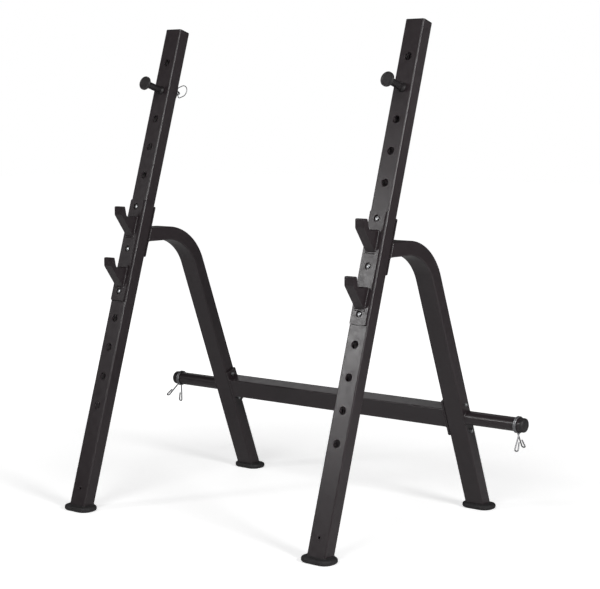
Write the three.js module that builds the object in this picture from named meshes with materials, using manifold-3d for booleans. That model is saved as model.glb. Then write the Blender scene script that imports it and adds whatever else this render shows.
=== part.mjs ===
// Squat stand: two uprights that lean back, each with a double bar catch, a rack pin and a bent rear
// leg, joined by a crossbeam that also carries a plate horn on each outer side.
// Millimetres. +X is to the user's right, +Y to the back and +Z up. The origin is on the floor, in the
// middle of the stand's box.
import * as THREE from 'three';
import { mergeVertices } from 'three/addons/utils/BufferGeometryUtils.js';
import Module from 'manifold-3d';

const wasm = await Module();
wasm.setup();

const degrees = THREE.MathUtils.degToRad;
const xAxis = new THREE.Vector3(1, 0, 0);
const yAxis = new THREE.Vector3(0, 1, 0);
const zAxis = new THREE.Vector3(0, 0, 1);

// Frame tube
const tubeWidth = 75;
const tubeDepth = 50;
const tubeWall = 3;
const tubeCorner = 5;

// Uprights, measured along the tube from the floor
const uprightSpacing = 1100;
const uprightLength = 1811;
const uprightLean = degrees(17.1);

// Rear legs
const legSetback = 938;
const legLean = degrees(21.3);
const legStubDrop = 9.6;
const legBendRadius = 183;
const legPlateThickness = 6;
const legPlateMargin = 15;

// Fits
const seatGap = 0.3;
const boltClearance = 0.5;
const cutOverrun = 5;

// Feet
const footWidth = 122;
const footDepth = 84;
const footHeight = 19;
const footCorner = 36;
const footRounding = 3;
const footFloor = 6;

// Upright caps
const capThickness = 3;
const capPlugDepth = 15;

// Rack pins and the row of holes that takes them
const rackPinDiameter = 25;
const rackPinClearance = 0.8;
const rackPinReach = 88;
const rackPinTail = 26;
const rackPinCollarDiameter = 32;
const rackPinCollarLength = 4;
const rackPinFlareLength = 8;
const rackPinHole = 1;
const rackPinTurn = degrees(20);
const rackDiscDiameter = 51;
const rackDiscThickness = 8;
const rackDiscSocket = 4;
const rackDiscRounding = 1.5;
const pinHoleTop = 130;
const pinHolePitch = 108.4;
const pinHoleCount = 13;
const plugHoleDiameter = 9;
const plugHoleHeight = 76;

// Lynch pins with their spring rings
const lynchPinDiameter = 8;
const lynchPinStandoff = 14;
const lynchPinTip = 2;
const lynchHeadDiameter = 14;
const lynchHeadLength = 20;
const lynchEyeInset = 6;
const lynchPinChamfer = 1.5;
const ringWire = 3.2;
const ringHeight = 46;
const ringReach = 46;
const ringCorner = 8;
const ringEndGap = 3;

// Bar catches, the plate measured along the upright and the hooks from the bar's resting side
const catchFoot = 770;
const catchLength = 381;
const catchWidth = 64;
const catchThickness = 8;
const hookSpacing = 191.5;
const hookSeat = 167;
const hookWidth = 38;
const hookReach = 92;
const hookLipThickness = 16;
const hookLipHeight = 31;
const hookLipSlope = degrees(12);
const hookDrop = 116;
const mouthDepth = 40;
const saddleRadius = 15;

// Bolts and nuts
const boltDiameter = 8;
const boltHeadWidth = 13;
const boltHeadHeight = 5.3;
const boltTail = 3;
const nutHeight = 6.5;
const catchBoltFoot = 35;
const catchBoltSpacing = 160;
const catchBoltRecessDiameter = 23;
const catchBoltRecessDepth = 5;

// Crossbeam and its end plates, measured along the rear leg
const beamHeight = 382;
const endPlateThickness = 8;
const endPlateLength = 140;
const beamBoltSpacing = 106;

// Plate horns and their spring clips
const hornDiameter = 49;
const hornLength = 223;
const hornWall = 3;
const hornCapDiameter = 50.6;
const hornCapLength = 14;
const hornCapPlugDepth = 12;
const hornCapRounding = 4;
const clipWire = 5;
const clipTurns = 2;
const clipTurnGap = 0.9;
const clipHornGap = 0.4;
const clipEndGap = 7;
const clipBendRadius = 6;
const clipLegSpread = degrees(28);
const clipLegLength = 56;
const clipLoopRadius = 6.5;
const clipLoopTurn = degrees(190);
const clipLoopReturn = 26;
const clipTurn = { left: degrees(-26), right: degrees(1) };

// Facets
const cornerSteps = 2;
const bendSteps = 9;
const pinSides = 16;
const boltSides = 12;
const roundSides = 20;
const footCornerSteps = 6;
const saddleSteps = 4;
const curlSteps = 8;
const clipSides = 5;
const ringSides = 6;
const ringCornerSteps = 3;
const ringRoundSteps = 10;
const loopSteps = 6;
const hookBendSteps = 3;

// Places that several pieces share
const uprightBack = tubeDepth / 2;
const legPlateFront = uprightBack + seatGap;
const legPlateBack = legPlateFront + legPlateThickness;
const catchBack = -tubeDepth / 2 - seatGap;
const catchFront = catchBack - catchThickness;
const catchBoltHeights = [0, 1, 2].map((row) => catchFoot + catchBoltFoot + row * catchBoltSpacing);
const legPlateBoltHeights = catchBoltHeights.slice(1);
const legPlateMiddle = (legPlateBoltHeights[0] + legPlateBoltHeights[1]) / 2;
const legPlateLevel = legPlateMiddle * Math.cos(uprightLean) - legPlateBack * Math.sin(uprightLean);
const legStubHeight = legPlateLevel - legStubDrop;
const beamBoltHeights = [-1, 1].map((way) => beamHeight + (way * beamBoltSpacing) / 2);
const endPlateInside = tubeWidth / 2 + seatGap;
const endPlateOutside = endPlateInside + endPlateThickness;
const hornStart = tubeWidth / 2 + seatGap;
const hornEnd = hornStart + hornLength;
const rackPinHeight = uprightLength - pinHoleTop - rackPinHole * pinHolePitch;
const lynchPinPlace = uprightBack + lynchPinStandoff;
const lynchHeadStart = rackPinDiameter / 2 + seatGap;
const ringPivot = lynchHeadStart + lynchHeadLength - lynchEyeInset;

const finishes = {
  powderCoat: { color: 0x2f2b2c, roughness: 0.45, metalness: 0.35 },
  blackSteel: { color: 0x1f1d1e, roughness: 0.4, metalness: 0.4 },
  plastic: { color: 0x1b1a1b, roughness: 0.6, metalness: 0 },
  rubber: { color: 0x161515, roughness: 0.85, metalness: 0 },
  zinc: { color: 0xa9abad, roughness: 0.35, metalness: 1 },
  springSteel: { color: 0xc3c5c6, roughness: 0.25, metalness: 1 },
};

// Turns a closed three.js geometry into a solid that can be joined and cut
function solid(geometry) {
  geometry.deleteAttribute('normal');
  geometry.deleteAttribute('uv');
  const merged = mergeVertices(geometry);
  return new wasm.Manifold(new wasm.Mesh({
    numProp: 3,
    vertProperties: merged.getAttribute('position').array,
    triVerts: new Uint32Array(merged.index.array),
  }));
}

// Turns a solid back into a geometry
function geometryOf(body) {
  const mesh = body.getMesh();
  const geometry = new THREE.BufferGeometry();
  geometry.setAttribute('position', new THREE.BufferAttribute(mesh.vertProperties, 3));
  geometry.setIndex(new THREE.BufferAttribute(mesh.triVerts, 1));
  geometry.computeVertexNormals();
  return geometry;
}

// A named mesh of a solid or a geometry, with its own material
function piece(name, shape, finish) {
  const geometry = shape.isBufferGeometry ? shape : geometryOf(shape);
  const mesh = new THREE.Mesh(geometry, new THREE.MeshStandardMaterial(finishes[finish]));
  mesh.name = name;
  return mesh;
}

function groupAt(x, y, z, turn = 0) {
  const group = new THREE.Group();
  group.position.set(x, y, z);
  group.rotation.x = turn;
  return group;
}

function roundedRectangle(width, height, radius) {
  const x = width / 2 - radius;
  const y = height / 2 - radius;
  const shape = new THREE.Shape();
  [[x, y], [-x, y], [-x, -y], [x, -y]].forEach(([cornerX, cornerY], corner) => {
    shape.absarc(cornerX, cornerY, radius, (corner * Math.PI) / 2, ((corner + 1) * Math.PI) / 2);
  });
  return shape;
}

function tubeOutline(grow) {
  return roundedRectangle(tubeWidth + 2 * grow, tubeDepth + 2 * grow, tubeCorner + grow);
}

// A bar of the given outline between two heights; an arc takes two steps for each curve segment
function standing(shape, bottom, top) {
  const options = { depth: top - bottom, bevelEnabled: false, curveSegments: cornerSteps / 2 };
  return new THREE.ExtrudeGeometry(shape, options).translate(0, 0, bottom);
}

// A side outline, x to the back and y up, given a width across the stand
function crosswise(shape, left, right, arcSteps = cornerSteps) {
  const options = { depth: right - left, bevelEnabled: false, curveSegments: arcSteps / 2 };
  const geometry = new THREE.ExtrudeGeometry(shape, options).translate(0, 0, left);
  return geometry.applyMatrix4(new THREE.Matrix4().makeBasis(yAxis, zAxis, xAxis));
}

function boxBetween(low, high) {
  const size = high.clone().sub(low);
  const middle = high.clone().add(low).divideScalar(2);
  return new THREE.BoxGeometry(size.x, size.y, size.z).translate(middle.x, middle.y, middle.z);
}

// Round bars along Y and along X, between two places
function rodBackward(radius, x, z, front, back, sides) {
  const rod = new THREE.CylinderGeometry(radius, radius, back - front, sides);
  return rod.translate(x, (front + back) / 2, z);
}

function rodCrosswise(radius, y, z, left, right, sides) {
  const rod = new THREE.CylinderGeometry(radius, radius, right - left, sides).rotateZ(-Math.PI / 2);
  return rod.translate((left + right) / 2, y, z);
}

// A block under a level that is horizontal once the piece leans by the given angle
function blockBelow(level, lean) {
  const half = tubeWidth + tubeDepth;
  const low = new THREE.Vector3(-half, -half, level - 2 * half);
  const high = new THREE.Vector3(half, half, level);
  return solid(boxBetween(low, high).rotateX(-lean));
}

// A path through given stations, which a section follows with no steps between them
class StationPath extends THREE.Curve {
  constructor(points, sideways = null) {
    super();
    this.points = points;
    this.sideways = sideways;
  }

  station(u) {
    return Math.round(u * (this.points.length - 1));
  }

  getPointAt(u) {
    return this.points[this.station(u)].clone();
  }

  getTangentAt(u) {
    const index = this.station(u);
    const last = this.points.length - 1;
    const before = this.points[Math.max(index - 1, 0)];
    const after = this.points[Math.min(index + 1, last)];
    const here = this.points[index];
    const tangent = new THREE.Vector3();
    if (index > 0) tangent.add(here.clone().sub(before).normalize());
    if (index < last) tangent.add(after.clone().sub(here).normalize());
    return tangent.normalize();
  }

  computeFrenetFrames(steps, closed) {
    if (!this.sideways) return super.computeFrenetFrames(steps, closed);
    const tangents = this.points.map((_, index) => this.getTangentAt(index / steps));
    const normals = tangents.map(() => this.sideways.clone());
    const binormals = tangents.map((tangent) => tangent.clone().cross(this.sideways));
    return { tangents, normals, binormals };
  }
}

function sweep(shape, points, sideways) {
  return new THREE.ExtrudeGeometry(shape, {
    steps: points.length - 1,
    extrudePath: new StationPath(points, sideways),
    curveSegments: cornerSteps / 2,
  });
}

// A round wire of few sides through the given points
function wire(points, diameter, sides) {
  const section = [];
  for (let side = 0; side < sides; side += 1) {
    const angle = (2 * Math.PI * side) / sides;
    section.push(new THREE.Vector2(Math.cos(angle), Math.sin(angle)).multiplyScalar(diameter / 2));
  }
  return sweep(new THREE.Shape(section), points, null);
}

// Points of an arc in a plane that two unit directions span
function arcPoints(centre, radius, from, sweepAngle, steps, u, v) {
  const points = [];
  for (let step = 0; step <= steps; step += 1) {
    const angle = from + (sweepAngle * step) / steps;
    const point = centre.clone().addScaledVector(u, radius * Math.cos(angle));
    points.push(point.addScaledVector(v, radius * Math.sin(angle)));
  }
  return points;
}

// Least free gap between stretches of a wire that lie more than a few diameters apart along it
function leastGap(points, diameter) {
  const dense = [];
  const along = [];
  let travelled = 0;
  for (let index = 0; index < points.length - 1; index += 1) {
    const length = points[index].distanceTo(points[index + 1]);
    const parts = Math.max(1, Math.ceil((2 * length) / diameter));
    for (let part = 0; part < parts; part += 1) {
      dense.push(points[index].clone().lerp(points[index + 1], part / parts));
      along.push(travelled + (length * part) / parts);
    }
    travelled += length;
  }
  let least = Infinity;
  for (let a = 0; a < dense.length; a += 1) {
    for (let b = a + 1; b < dense.length; b += 1) {
      if (along[b] - along[a] > 4 * diameter) least = Math.min(least, dense[a].distanceTo(dense[b]));
    }
  }
  return least - diameter;
}

// Holes of the rack row that the catch plate leaves free
function pinHoleHeights() {
  const heights = [];
  for (let hole = 0; hole < pinHoleCount; hole += 1) {
    const height = uprightLength - pinHoleTop - hole * pinHolePitch;
    const fromCatch = Math.abs(height - catchFoot - catchLength / 2);
    if (fromCatch > (catchLength + rackPinDiameter) / 2) heights.push(height);
  }
  return heights;
}

function upright() {
  const top = uprightLength - capThickness - seatGap;
  const overrun = tubeWidth;
  let body = solid(standing(tubeOutline(0), -overrun, top));
  body = body.subtract(solid(standing(tubeOutline(-tubeWall), -2 * overrun, top + overrun)));
  const holeRadius = rackPinDiameter / 2 + rackPinClearance;
  const reach = tubeDepth / 2 + cutOverrun;
  for (const height of pinHoleHeights()) {
    body = body.subtract(solid(rodBackward(holeRadius, 0, height, -reach, reach, pinSides)));
  }
  const boltHole = boltDiameter / 2 + boltClearance;
  for (const height of catchBoltHeights) {
    body = body.subtract(solid(rodBackward(boltHole, 0, height, -reach, reach, boltSides)));
  }
  const plugHole = rodBackward(plugHoleDiameter / 2, 0, plugHoleHeight, -reach, 0, boltSides);
  return body.subtract(solid(plugHole)).subtract(blockBelow(footFloor + seatGap, -uprightLean));
}

function uprightCap() {
  const plate = solid(standing(tubeOutline(0), uprightLength - capThickness, uprightLength));
  const plugBottom = uprightLength - capThickness - capPlugDepth;
  const plug = standing(tubeOutline(-tubeWall - seatGap), plugBottom, uprightLength - capThickness / 2);
  return plate.add(solid(plug));
}

// A foot with a socket for a tube that leans by the given angle
function foot(lean) {
  const outline = roundedRectangle(footWidth, footDepth, footCorner);
  const flange = new THREE.ExtrudeGeometry(outline, {
    depth: footHeight - 2 * footRounding,
    bevelThickness: footRounding,
    bevelSize: footRounding,
    bevelOffset: -footRounding,
    bevelSegments: 2,
    curveSegments: footCornerSteps / 2,
  }).translate(0, 0, footRounding);
  const socket = solid(standing(tubeOutline(seatGap), -footHeight, 3 * footHeight).rotateX(lean));
  return solid(flange).subtract(socket.subtract(blockBelow(footFloor, 0)));
}

// One bar hook, its outline level with the floor once the upright leans
function hook(seat) {
  const faceBack = (level) => level * Math.tan(uprightLean) + catchThickness / 2;
  const lipInside = hookReach - hookLipThickness;
  const saddleLevel = saddleRadius - mouthDepth;
  const inset = (saddleRadius - saddleLevel * Math.sin(hookLipSlope)) / Math.cos(hookLipSlope);
  const outline = new THREE.Shape();
  outline.moveTo(faceBack(-hookDrop), -hookDrop);
  outline.lineTo(faceBack(-mouthDepth), -mouthDepth);
  outline.absarc(inset - lipInside, saddleLevel, saddleRadius, 1.5 * Math.PI, Math.PI + hookLipSlope, true);
  outline.lineTo(-lipInside, 0);
  outline.lineTo(-hookReach, 0);
  outline.lineTo(-hookReach, -hookLipHeight);
  const geometry = crosswise(outline, -hookWidth / 2, hookWidth / 2, saddleSteps);
  return solid(geometry.rotateX(uprightLean).translate(0, catchFront, seat));
}

function barCatch() {
  const low = new THREE.Vector3(-catchWidth / 2, catchFront, catchFoot);
  const high = new THREE.Vector3(catchWidth / 2, catchBack, catchFoot + catchLength);
  let body = solid(boxBetween(low, high));
  for (const seat of [hookSeat, hookSeat + hookSpacing]) body = body.add(hook(catchFoot + seat));
  const floor = catchFront + catchBoltRecessDepth;
  const recess = catchBoltRecessDiameter / 2;
  const hole = boltDiameter / 2 + boltClearance;
  for (const height of catchBoltHeights) {
    const front = catchFront - boltHeadHeight - cutOverrun;
    body = body.subtract(solid(rodBackward(recess, 0, height, front, floor, pinSides)));
    body = body.subtract(solid(rodBackward(hole, 0, height, front, catchBack + cutOverrun, boltSides)));
  }
  return body;
}

// A hexagon bolt along Y with its head's underside at zero, and its nut from zero to its height
function bolt(shankLength) {
  const headRadius = boltHeadWidth / Math.sqrt(3);
  const head = solid(rodBackward(headRadius, 0, 0, -boltHeadHeight, 0, 6));
  return head.add(solid(rodBackward(boltDiameter / 2, 0, 0, -boltHeadHeight / 2, shankLength, boltSides)));
}

function nut() {
  const outside = solid(rodBackward(boltHeadWidth / Math.sqrt(3), 0, 0, 0, nutHeight, 6));
  const thread = rodBackward(boltDiameter / 2 + seatGap, 0, 0, -cutOverrun, nutHeight + cutOverrun, boltSides);
  return outside.subtract(solid(thread));
}

function legPlate() {
  const half = (legPlateBoltHeights[1] - legPlateBoltHeights[0]) / 2 + legPlateMargin;
  const low = new THREE.Vector3(-tubeWidth / 2, legPlateFront, legPlateMiddle - half);
  const high = new THREE.Vector3(tubeWidth / 2, legPlateBack, legPlateMiddle + half);
  let body = solid(boxBetween(low, high));
  for (const height of legPlateBoltHeights) {
    const hole = boltDiameter / 2 + boltClearance;
    body = body.subtract(solid(rodBackward(hole, 0, height, 0, legPlateBack + cutOverrun, boltSides)));
  }
  return body;
}

// Stations of the rear leg's middle line, from inside the upright to under the floor
function legStations() {
  const corner = legSetback - legStubHeight * Math.tan(legLean);
  const turn = Math.PI / 2 - legLean;
  const tangent = legBendRadius * Math.tan(turn / 2);
  const centre = new THREE.Vector3(0, corner - tangent, legStubHeight - legBendRadius);
  const start = new THREE.Vector3(0, legStubHeight * Math.tan(uprightLean), legStubHeight);
  const end = new THREE.Vector3(0, legSetback + tubeWidth * Math.tan(legLean), -tubeWidth);
  const bend = arcPoints(centre, legBendRadius, Math.PI / 2, -turn, bendSteps, yAxis, zAxis);
  return [start, ...bend, end];
}

// The bent rear leg, cut to the leg plate's slant at the front and to the foot at the floor
function rearLeg() {
  const stations = legStations();
  let body = solid(sweep(tubeOutline(0), stations, xAxis));
  const first = stations[0].clone().setY(stations[0].y - tubeWidth);
  const last = stations[stations.length - 1].clone().lerp(stations[stations.length - 2], -1);
  const inside = [first, ...stations.slice(1, -1), last];
  body = body.subtract(solid(sweep(tubeOutline(-tubeWall), inside, xAxis)));
  const block = tubeWidth + tubeDepth;
  const plateBack = legPlateBack + seatGap;
  const low = new THREE.Vector3(-block, plateBack - 2 * block, legPlateMiddle - 2 * block);
  const high = new THREE.Vector3(block, plateBack, legPlateMiddle + 2 * block);
  body = body.subtract(solid(boxBetween(low, high).rotateX(-uprightLean)));
  const boltHole = boltDiameter / 2 + boltClearance;
  for (const height of beamBoltHeights) {
    const hole = rodCrosswise(boltHole, 0, height, -tubeWidth, tubeWidth, boltSides);
    body = body.subtract(solid(hole.rotateX(legLean).translate(0, legSetback, 0)));
  }
  const ground = blockBelow(footFloor + seatGap, 0);
  return body.subtract(ground.translate([0, legSetback, 0]));
}

// The plate between the crossbeam's end and the rear leg's inner side
function endPlate(inward) {
  const half = endPlateLength / 2;
  const start = inward * endPlateInside;
  const end = inward * endPlateOutside;
  const low = new THREE.Vector3(Math.min(start, end), -tubeDepth / 2, beamHeight - half);
  const high = new THREE.Vector3(Math.max(start, end), tubeDepth / 2, beamHeight + half);
  let body = solid(boxBetween(low, high));
  const reach = endPlateOutside + cutOverrun;
  for (const height of beamBoltHeights) {
    const hole = rodCrosswise(boltDiameter / 2 + boltClearance, 0, height, -reach, reach, boltSides);
    body = body.subtract(solid(hole));
  }
  return body;
}

// The crossbeam's section is turned with the rear legs, and its wider side runs along them
function crossbeam() {
  const half = uprightSpacing / 2 - endPlateOutside - seatGap;
  const outline = (grow) => {
    return roundedRectangle(tubeDepth + 2 * grow, tubeWidth + 2 * grow, tubeCorner + grow);
  };
  const shape = outline(0);
  shape.holes.push(outline(-tubeWall));
  return solid(crosswise(shape, -half, half).translate(0, 0, beamHeight));
}

// A turned piece about X, from points of radius and place along the axis
function turned(profile, sides) {
  const points = profile.map(([radius, place]) => new THREE.Vector2(radius, place));
  return new THREE.LatheGeometry(points, sides);
}

function alongX(geometry, way) {
  return geometry.rotateZ((-way * Math.PI) / 2);
}

function horn() {
  const radius = hornDiameter / 2;
  const bore = radius - hornWall;
  return turned([[bore, hornStart], [radius, hornStart], [radius, hornEnd], [bore, hornEnd], [bore, hornStart]],
    roundSides);
}

function hornCap() {
  const inner = hornEnd + seatGap;
  const plug = hornDiameter / 2 - hornWall - seatGap;
  const radius = hornCapDiameter / 2;
  const outer = inner + hornCapLength;
  return turned([
    [0, inner - hornCapPlugDepth],
    [plug, inner - hornCapPlugDepth],
    [plug, inner],
    [radius, inner],
    [radius, outer - hornCapRounding],
    [radius - hornCapRounding / 3, outer - hornCapRounding / 3],
    [radius - hornCapRounding, outer],
    [0, outer],
  ], roundSides);
}

// One end of the clip: a bend off the coil, a straight leg and a loop that turns outwards and up
function clipEnd(place, way, coilRadius) {
  const out = yAxis.clone().multiplyScalar(way);
  const down = zAxis.clone().negate();
  const turn = Math.PI / 2 - clipLegSpread;
  const bendCentre = new THREE.Vector3(place, 0, -coilRadius - clipBendRadius);
  const bend = arcPoints(bendCentre, clipBendRadius, -Math.PI / 2, turn, hookBendSteps, out, down);
  const straight = new THREE.Vector3(0, way * Math.sin(clipLegSpread), -Math.cos(clipLegSpread));
  const legEnd = bend[bend.length - 1].clone().addScaledVector(straight, clipLegLength);
  const loopCentre = legEnd.clone().addScaledVector(xAxis, clipLoopRadius);
  const loop = arcPoints(loopCentre, clipLoopRadius, Math.PI, -clipLoopTurn, loopSteps, xAxis, straight);
  const last = Math.PI - clipLoopTurn;
  const up = xAxis.clone().multiplyScalar(Math.sin(last)).addScaledVector(straight, -Math.cos(last));
  const tip = loop[loop.length - 1].clone().addScaledVector(up, clipLoopReturn);
  return [...bend, ...loop, tip];
}

// The wire of a spring clip: its coil round the horn and the two legs that are squeezed to open it
function clipPoints(way) {
  const inside = hornDiameter / 2 + clipHornGap + clipWire / 2;
  const radius = inside / Math.cos(Math.PI / curlSteps);
  const pitch = clipWire + clipTurnGap;
  const width = clipTurns * pitch;
  const middle = hornEnd - clipEndGap - clipWire / 2 - width / 2;
  const points = [];
  const steps = clipTurns * curlSteps;
  for (let step = 1; step < steps; step += 1) {
    const angle = (2 * Math.PI * step) / curlSteps;
    const place = middle + width * (step / steps - 0.5);
    points.push(new THREE.Vector3(place, -radius * Math.sin(angle), -radius * Math.cos(angle)));
  }
  const first = clipEnd(middle - width / 2, 1, radius).reverse();
  const last = clipEnd(middle + width / 2, -1, radius);
  const all = [...first, ...points, ...last];
  return all.map((point) => new THREE.Vector3(way * point.x, point.y, point.z));
}

// The rack pin's rod: a collar that stops it at the upright's front and a cross hole at its tail
function rackPin() {
  const radius = rackPinDiameter / 2;
  const face = -tubeDepth / 2 - seatGap;
  const tail = uprightBack + rackPinTail;
  const collar = rackPinCollarDiameter / 2;
  const front = face - rackPinReach;
  const rod = turned([
    [0, front],
    [radius, front],
    [radius, face - rackPinCollarLength - rackPinFlareLength],
    [collar, face - rackPinCollarLength],
    [collar, face],
    [radius, face],
    [radius, tail - lynchPinChamfer],
    [radius - lynchPinChamfer, tail],
    [0, tail],
  ], roundSides);
  const holeRadius = lynchPinDiameter / 2 + seatGap;
  const hole = rodCrosswise(holeRadius, lynchPinPlace, 0, -rackPinDiameter, rackPinDiameter, boltSides);
  return solid(rod).subtract(solid(hole));
}

function rackDisc() {
  const seat = -tubeDepth / 2 - seatGap - rackPinReach;
  const back = seat + rackDiscSocket;
  const front = back - rackDiscThickness;
  const radius = rackDiscDiameter / 2;
  const bore = rackPinDiameter / 2 + seatGap;
  return turned([
    [0, front],
    [radius - rackDiscRounding, front],
    [radius, front + rackDiscRounding],
    [radius, back - rackDiscRounding],
    [radius - rackDiscRounding, back],
    [bore, back],
    [bore, seat - seatGap],
    [0, seat - seatGap],
  ], roundSides);
}

// The lynch pin lies across the rack pin's tail, with its head towards the middle of the stand
function lynchPin(inward) {
  const radius = lynchPinDiameter / 2;
  const head = lynchHeadDiameter / 2;
  const tip = -rackPinDiameter / 2 - lynchPinTip;
  const headEnd = lynchHeadStart + lynchHeadLength;
  const pin = alongX(turned([
    [0, tip],
    [radius - lynchPinChamfer, tip],
    [radius, tip + lynchPinChamfer],
    [radius, lynchHeadStart],
    [head, lynchHeadStart],
    [head, headEnd - lynchPinChamfer],
    [head - lynchPinChamfer, headEnd],
    [0, headEnd],
  ], pinSides), inward);
  const eye = standing(roundedRectangle(ringWire + 2 * seatGap, ringWire + 2 * seatGap, ringWire / 2),
    -lynchHeadDiameter, lynchHeadDiameter);
  return solid(pin).subtract(solid(eye.translate(inward * ringPivot, 0, 0)));
}

// The D-shaped spring ring, whose two ends turn in the lynch pin's head
function ringPoints(inward) {
  const half = (ringHeight - ringWire) / 2;
  const out = xAxis.clone().multiplyScalar(inward);
  const corner = new THREE.Vector3(inward * ringCorner, 0, half - ringCorner);
  const middle = new THREE.Vector3(inward * (ringReach - ringWire / 2 - half), 0, 0);
  const upper = arcPoints(corner, ringCorner, Math.PI, -Math.PI / 2, ringCornerSteps, out, zAxis);
  const round = arcPoints(middle, half, Math.PI / 2, -Math.PI / 2, ringRoundSteps / 2, out, zAxis);
  const mirror = (points) => points.map((point) => new THREE.Vector3(point.x, 0, -point.z)).reverse();
  const start = new THREE.Vector3(0, 0, ringEndGap / 2);
  const top = [start, ...upper, ...round.slice(0, -1)];
  return [...top, round[round.length - 1], ...mirror(top)];
}

function place(mesh, x, y, z) {
  mesh.position.set(x, y, z);
  return mesh;
}

function addCatchBolts(lean, side) {
  const underHead = catchFront + catchBoltRecessDepth - seatGap;
  catchBoltHeights.forEach((height, row) => {
    const nutFront = (row === 0 ? uprightBack : legPlateBack) + seatGap;
    const shank = nutFront + nutHeight + boltTail - underHead;
    const number = row + 1;
    lean.add(place(piece(`catch_bolt_${number}_${side}`, bolt(shank), 'zinc'), 0, underHead, height));
    lean.add(place(piece(`catch_nut_${number}_${side}`, nut(), 'zinc'), 0, nutFront, height));
  });
}

// Bolts through the end plate and the leg, with their heads on the inner side
function addBeamBolts(leg, side, outward) {
  const underHead = endPlateOutside + seatGap;
  const nutFront = tubeWidth / 2 + seatGap;
  const shank = underHead + nutFront + nutHeight + boltTail;
  beamBoltHeights.forEach((height, row) => {
    const number = row + 1;
    const beamBolt = piece(`beam_bolt_${number}_${side}`, bolt(shank), 'zinc');
    const beamNut = piece(`beam_nut_${number}_${side}`, nut(), 'zinc');
    for (const mesh of [beamBolt, beamNut]) mesh.rotation.z = (-outward * Math.PI) / 2;
    leg.add(place(beamBolt, -outward * underHead, 0, height));
    leg.add(place(beamNut, outward * nutFront, 0, height));
  });
}

function addRackPin(lean, side, outward) {
  const pin = groupAt(0, 0, rackPinHeight);
  pin.rotation.y = outward * rackPinTurn;
  pin.add(piece(`rack_pin_${side}`, rackPin(), 'blackSteel'));
  pin.add(piece(`rack_pin_disc_${side}`, rackDisc(), 'blackSteel'));
  pin.add(place(piece(`lynch_pin_${side}`, lynchPin(-outward), 'zinc'), 0, lynchPinPlace, 0));
  const points = ringPoints(-outward);
  const ring = piece(`lynch_ring_${side}`, wire(points, ringWire, ringSides), 'springSteel');
  pin.add(place(ring, -outward * ringPivot, lynchPinPlace, 0));
  lean.add(pin);
}

// Everything that leans back with one upright
function uprightParts(side, outward) {
  const lean = groupAt(0, 0, 0, -uprightLean);
  lean.add(piece(`upright_${side}`, upright(), 'powderCoat'));
  lean.add(piece(`upright_cap_${side}`, uprightCap(), 'plastic'));
  lean.add(piece(`bar_catch_${side}`, barCatch(), 'powderCoat'));
  lean.add(piece(`leg_plate_${side}`, legPlate(), 'powderCoat'));
  addCatchBolts(lean, side);
  addRackPin(lean, side, outward);
  return lean;
}

// What joins the crossbeam to one rear leg
function beamJoint(side, outward) {
  const leg = groupAt(0, legSetback, 0, legLean);
  leg.add(piece(`beam_end_plate_${side}`, endPlate(-outward), 'powderCoat'));
  addBeamBolts(leg, side, outward);
  return leg;
}

// The horn, its cap and its clip, about the horn's level axis
function hornParts(side, outward) {
  const back = legSetback - beamHeight * Math.sin(legLean);
  const axis = groupAt(0, back, beamHeight * Math.cos(legLean));
  axis.add(piece(`weight_horn_${side}`, alongX(horn(), outward), 'powderCoat'));
  axis.add(piece(`horn_cap_${side}`, alongX(hornCap(), outward), 'plastic'));
  const clip = piece(`spring_clip_${side}`, wire(clipPoints(outward), clipWire, clipSides), 'springSteel');
  clip.rotation.x = clipTurn[side];
  axis.add(clip);
  return axis;
}

function sideFrame(side, outward) {
  const frame = groupAt((outward * uprightSpacing) / 2, 0, 0);
  frame.add(uprightParts(side, outward));
  frame.add(piece(`rear_leg_${side}`, rearLeg(), 'powderCoat'));
  frame.add(piece(`front_foot_${side}`, foot(-uprightLean), 'rubber'));
  frame.add(place(piece(`rear_foot_${side}`, foot(legLean), 'rubber'), 0, legSetback, 0));
  frame.add(beamJoint(side, outward));
  frame.add(hornParts(side, outward));
  return frame;
}

console.log(`spring clip: least gap to itself ${leastGap(clipPoints(1), clipWire).toFixed(2)} mm`);
console.log(`lynch ring: least gap to itself ${leastGap(ringPoints(1), ringWire).toFixed(2)} mm`);

const stand = groupAt(0, -legSetback / 2, 0);
stand.add(sideFrame('left', -1));
stand.add(sideFrame('right', 1));
const beam = groupAt(0, legSetback, 0, legLean);
beam.add(piece('crossbeam', crossbeam(), 'powderCoat'));
stand.add(beam);

export default stand;
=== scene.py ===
"""Looks of the squat stand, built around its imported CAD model.

Metres, with +X to the user's right, +Y to the back and +Z up.
"""
import math

import bmesh
import bpy
from mathutils import Matrix, Vector, noise

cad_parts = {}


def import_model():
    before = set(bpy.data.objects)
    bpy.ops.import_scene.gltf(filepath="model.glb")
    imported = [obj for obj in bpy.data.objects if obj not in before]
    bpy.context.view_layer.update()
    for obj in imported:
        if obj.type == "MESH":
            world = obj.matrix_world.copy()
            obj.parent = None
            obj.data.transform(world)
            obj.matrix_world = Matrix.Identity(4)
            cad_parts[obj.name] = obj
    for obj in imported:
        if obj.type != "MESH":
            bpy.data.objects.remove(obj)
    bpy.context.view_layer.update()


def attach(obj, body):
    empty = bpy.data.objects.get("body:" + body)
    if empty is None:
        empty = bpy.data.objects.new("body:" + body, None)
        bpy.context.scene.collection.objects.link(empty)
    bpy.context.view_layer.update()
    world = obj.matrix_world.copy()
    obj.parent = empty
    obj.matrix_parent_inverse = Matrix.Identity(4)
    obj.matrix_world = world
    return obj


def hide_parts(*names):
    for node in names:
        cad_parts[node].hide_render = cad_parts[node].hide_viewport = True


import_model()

# Frame tube, and where the two side frames stand
TUBE_WIDTH = 0.075
TUBE_DEPTH = 0.050
TUBE_WALL = 0.003
TUBE_CORNER = 0.005
COATED_DEPTH = 0.00225
SPACING = 1.100
SETBACK = 0.938
SEAT_GAP = 0.0003
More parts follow.
